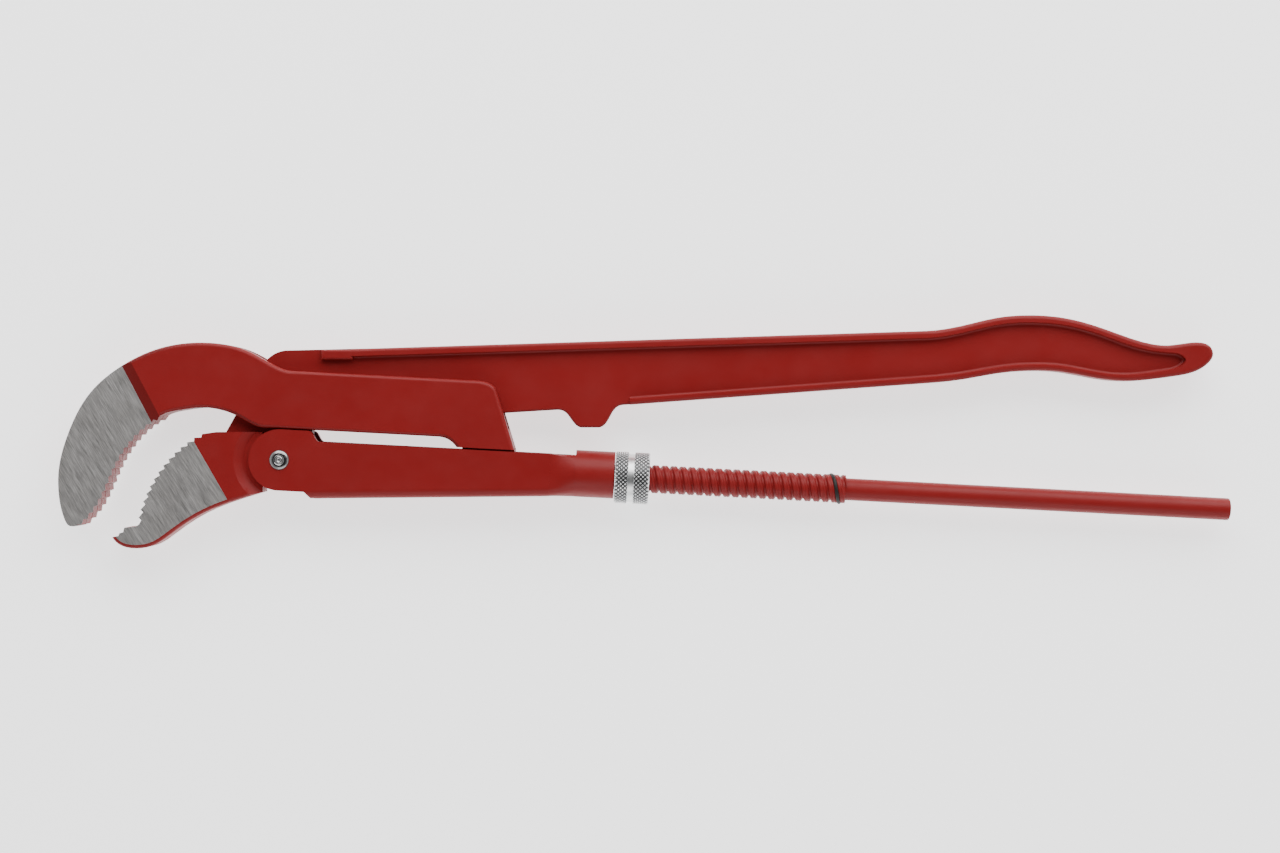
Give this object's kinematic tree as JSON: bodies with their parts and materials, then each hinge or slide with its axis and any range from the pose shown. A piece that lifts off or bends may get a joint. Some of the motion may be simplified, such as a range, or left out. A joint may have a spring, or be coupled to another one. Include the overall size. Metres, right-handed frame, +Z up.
{
  "type": "pipe wrench",
  "caption": "Swedish-pattern pipe wrench with S-shaped toothed jaws, forged I-section handle, round threaded bar handle and a knurled adjusting nut.",
  "frame": {"origin": "below the middle of the wrench's bounding box, on the surface it lies on", "axes": "+X along the threaded bar towards its free end, +Y from the bar towards the forged handle, +Z up through the pivot pin, out of the upper flat side"},
  "size_m": [0.6479, 0.1548, 0.0288],
  "materials": {
    "red_paint": "satin red paint over forged steel",
    "bright_pin": "bright domed rivet",
    "plain_steel": "plain steel",
    "plated_nut": "bright zinc plate",
    "black_wire": "blackened wire",
    "spring_steel": "blued spring steel"
  },
  "bodies": {
    "handle": {"handle_and_lower_jaw": "red_paint"},
    "bracket": {"bracket": "red_paint", "pivot_pin": "bright_pin", "leaf_spring": "spring_steel", "spring_rivet": "plain_steel"},
    "slider": {"upper_jaw": "red_paint", "threaded_bar": "red_paint", "bar_cross_pin": "plain_steel", "stop_ring": "black_wire"},
    "nut": {"adjusting_nut": "plated_nut"}
  },
  "joints": [
    {"name": "handle_pivot", "type": "hinge", "parent": "handle", "child": "bracket", "pos_m": [-0.20255, -0.02436, 0.0144], "axis": [0, 0, 1], "range_deg": [-20, 4]},
    {"name": "jaw_slide", "type": "slide", "parent": "bracket", "child": "slider", "axis": [-1, 0, 0], "range_m": [-0.012, 0.072]},
    {"name": "nut_spin", "type": "hinge", "parent": "bracket", "child": "nut", "pos_m": [-0.00805, -0.02436, 0.0144], "axis": [1, 0, 0], "range_deg": [-432, 2592]}
  ],
  "couplings": [
    {"joint": "nut_spin", "follows": "jaw_slide", "rad_per_m": 628.32}
  ]
}
